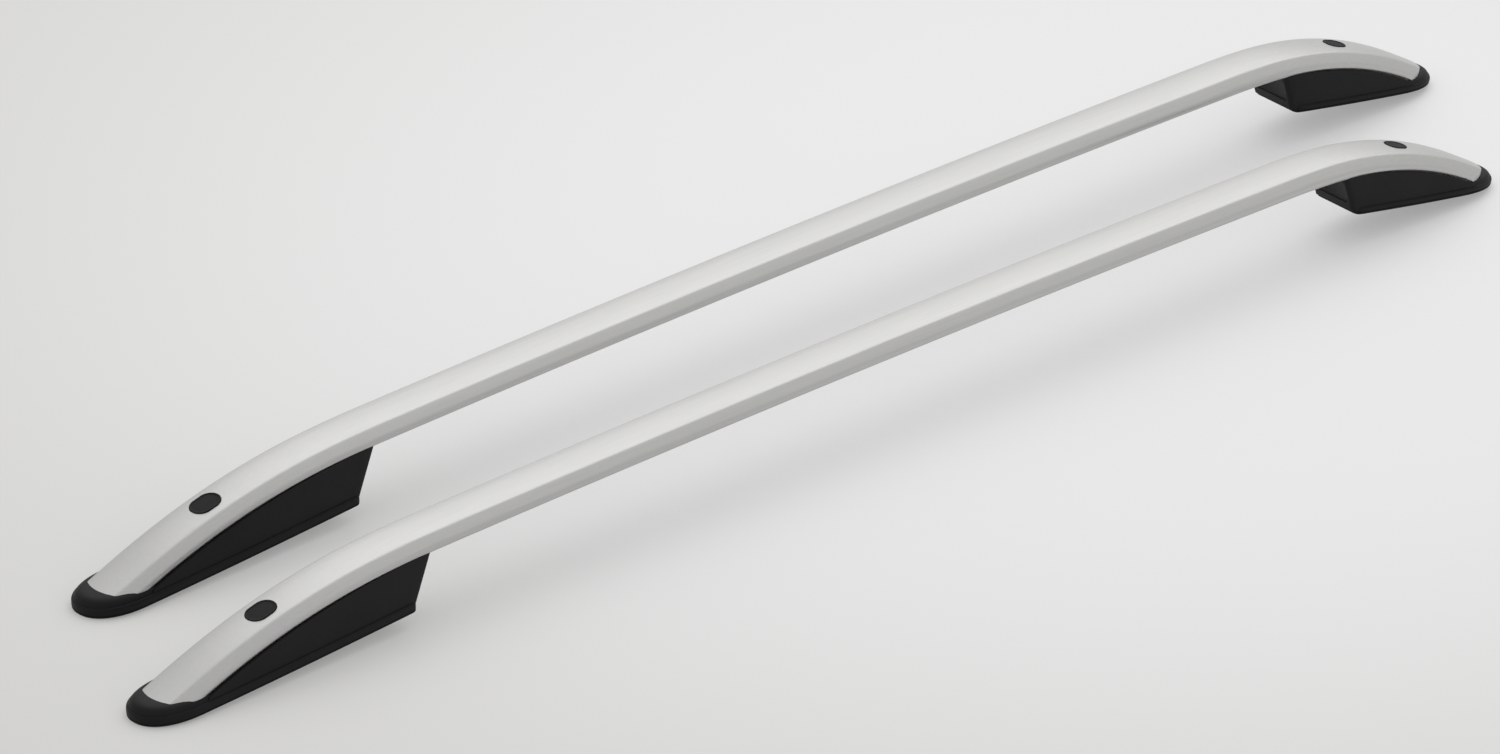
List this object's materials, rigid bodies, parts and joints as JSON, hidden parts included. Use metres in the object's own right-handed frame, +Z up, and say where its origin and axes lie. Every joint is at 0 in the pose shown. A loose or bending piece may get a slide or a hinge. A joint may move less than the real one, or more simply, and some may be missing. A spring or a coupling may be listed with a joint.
{
  "type": "roof side rail pair",
  "caption": "Pair of raised roof side rails: bent hollow silver bars whose ends sink into black moulded feet, each with a gasket, bracket, bolt bore and oval cover plug.",
  "frame": {"origin": "on the ground, under the middle of the pair's bounding box", "axes": "+X along the vehicle towards its rear, +Y from the left rail to the right rail, +Z up"},
  "size_m": [1.5391, 0.228, 0.083],
  "materials": {
    "rail_aluminium": "satin silver, anodised",
    "foot_plastic": "satin black, moulded",
    "gasket_rubber": "matt black",
    "plug_plastic": "satin black, moulded",
    "cast_aluminium": "as cast",
    "zinc_steel": "zinc plated"
  },
  "bodies": {
    "root": {"left_bar": "rail_aluminium", "right_bar": "rail_aluminium", "left_front_foot": "foot_plastic", "left_rear_foot": "foot_plastic", "right_front_foot": "foot_plastic", "right_rear_foot": "foot_plastic", "left_front_gasket": "gasket_rubber", "left_rear_gasket": "gasket_rubber", "right_front_gasket": "gasket_rubber", "right_rear_gasket": "gasket_rubber", "left_front_plug": "plug_plastic", "left_rear_plug": "plug_plastic", "right_front_plug": "plug_plastic", "right_rear_plug": "plug_plastic", "left_front_bracket": "cast_aluminium", "left_rear_bracket": "cast_aluminium", "right_front_bracket": "cast_aluminium", "right_rear_bracket": "cast_aluminium", "left_front_bush": "zinc_steel", "left_rear_bush": "zinc_steel", "right_front_bush": "zinc_steel", "right_rear_bush": "zinc_steel", "left_front_nut_plate": "zinc_steel", "left_rear_nut_plate": "zinc_steel", "right_front_nut_plate": "zinc_steel", "right_rear_nut_plate": "zinc_steel", "left_front_bracket_screws": "zinc_steel", "left_rear_bracket_screws": "zinc_steel", "right_front_bracket_screws": "zinc_steel", "right_rear_bracket_screws": "zinc_steel", "left_front_foot_screws": "zinc_steel", "left_rear_foot_screws": "zinc_steel", "right_front_foot_screws": "zinc_steel", "right_rear_foot_screws": "zinc_steel"}
  },
  "joints": []
}
